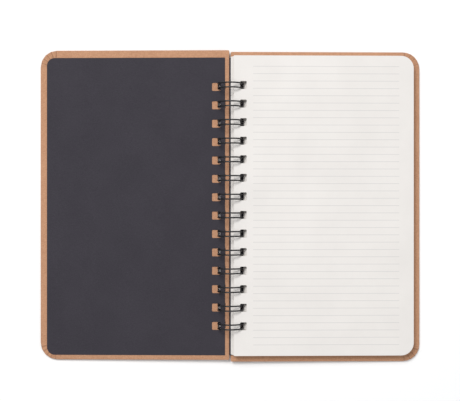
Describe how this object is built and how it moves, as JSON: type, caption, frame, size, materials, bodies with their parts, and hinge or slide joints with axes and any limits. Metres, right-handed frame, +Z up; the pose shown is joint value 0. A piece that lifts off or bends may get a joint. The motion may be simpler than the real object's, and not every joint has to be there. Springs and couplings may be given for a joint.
{
  "type": "wire-bound notebook",
  "caption": "Twin-loop wire-bound notebook with kraft-wrapped board covers, black flyleaves and ruled leaves, lying open flat at its first page.",
  "frame": {"origin": "on the table, straight below the axis of the wire loops, midway along the covers", "axes": "+Z up; +Y along the binding towards the head; +X from the binding across the back cover and the leaves"},
  "size_m": [0.2628, 0.2152, 0.0175],
  "materials": {
    "front_board": "raw grey board core, seen only inside the punched holes",
    "front_wrap": "brown kraft paper glued round the board, matt, fine fibres",
    "front_liner": "brown kraft lining sheet, matt",
    "front_flyleaf": "charcoal-black uncoated card, matt",
    "back_board": "raw grey board core, seen only inside the punched holes",
    "back_wrap": "brown kraft paper glued round the board, matt, fine fibres",
    "back_liner": "brown kraft lining sheet, matt",
    "back_flyleaf": "charcoal-black uncoated card, matt",
    "leaf_01": "off-white writing paper with fine grey ruled lines",
    "leaf_02": "off-white writing paper with fine grey ruled lines",
    "leaf_03": "off-white writing paper with fine grey ruled lines",
    "leaf_04": "off-white writing paper with fine grey ruled lines",
    "leaf_05": "off-white writing paper with fine grey ruled lines",
    "leaf_06": "off-white writing paper with fine grey ruled lines",
    "leaves_a": "off-white writing paper, a group of separate leaves",
    "leaves_b": "off-white writing paper, a group of separate leaves",
    "leaves_c": "off-white writing paper, a group of separate leaves",
    "leaves_d": "off-white writing paper, a group of separate leaves",
    "leaves_e": "off-white writing paper, a group of separate leaves",
    "wire_comb": "steel wire with a thin black nylon-like coat, satin"
  },
  "bodies": {
    "back_half": {"back_board": "back_board", "back_wrap": "back_wrap", "back_liner": "back_liner", "back_flyleaf": "back_flyleaf", "leaves_a": "leaves_a", "leaves_b": "leaves_b", "leaves_c": "leaves_c", "leaves_d": "leaves_d", "leaves_e": "leaves_e", "wire_comb": "wire_comb"},
    "front_cover": {"front_board": "front_board", "front_wrap": "front_wrap", "front_liner": "front_liner"},
    "front_fly": {"front_flyleaf": "front_flyleaf"},
    "leaf_1": {"leaf_01": "leaf_01"},
    "leaf_2": {"leaf_02": "leaf_02"},
    "leaf_3": {"leaf_03": "leaf_03"},
    "leaf_4": {"leaf_04": "leaf_04"},
    "leaf_5": {"leaf_05": "leaf_05"},
    "leaf_6": {"leaf_06": "leaf_06"}
  },
  "joints": [
    {"name": "front_cover_turn", "type": "hinge", "parent": "back_half", "child": "front_cover", "pos_m": [0, 0, 0.00877], "axis": [0, 1, 0], "range_deg": [0, 182.62]},
    {"name": "front_flyleaf_turn", "type": "hinge", "parent": "back_half", "child": "front_fly", "pos_m": [0, 0, 0.00877], "axis": [0, 1, 0], "range_deg": [0, 182.62]},
    {"name": "leaf_turn", "type": "hinge", "parent": "back_half", "child": "leaf_1", "pos_m": [0, 0, 0.00877], "axis": [0, -1, 0], "range_deg": [0, 182.62]},
    {"name": "leaf_2_turn", "type": "hinge", "parent": "back_half", "child": "leaf_2", "pos_m": [0, 0, 0.00877], "axis": [0, -1, 0], "range_deg": [0, 177.15]},
    {"name": "leaf_3_turn", "type": "hinge", "parent": "back_half", "child": "leaf_3", "pos_m": [0, 0, 0.00877], "axis": [0, -1, 0], "range_deg": [0, 171.67]},
    {"name": "leaf_4_turn", "type": "hinge", "parent": "back_half", "child": "leaf_4", "pos_m": [0, 0, 0.00877], "axis": [0, -1, 0], "range_deg": [0, 166.19]},
    {"name": "leaf_5_turn", "type": "hinge", "parent": "back_half", "child": "leaf_5", "pos_m": [0, 0, 0.00877], "axis": [0, -1, 0], "range_deg": [0, 160.71]},
    {"name": "leaf_6_turn", "type": "hinge", "parent": "back_half", "child": "leaf_6", "pos_m": [0, 0, 0.00877], "axis": [0, -1, 0], "range_deg": [0, 155.23]}
  ],
  "couplings": [
    {"joint": "front_flyleaf_turn", "follows": "front_cover_turn", "ratio": 1},
    {"joint": "leaf_2_turn", "follows": "leaf_turn", "ratio": 0.97},
    {"joint": "leaf_3_turn", "follows": "leaf_turn", "ratio": 0.94},
    {"joint": "leaf_4_turn", "follows": "leaf_turn", "ratio": 0.91},
    {"joint": "leaf_5_turn", "follows": "leaf_turn", "ratio": 0.88},
    {"joint": "leaf_6_turn", "follows": "leaf_turn", "ratio": 0.85}
  ]
}
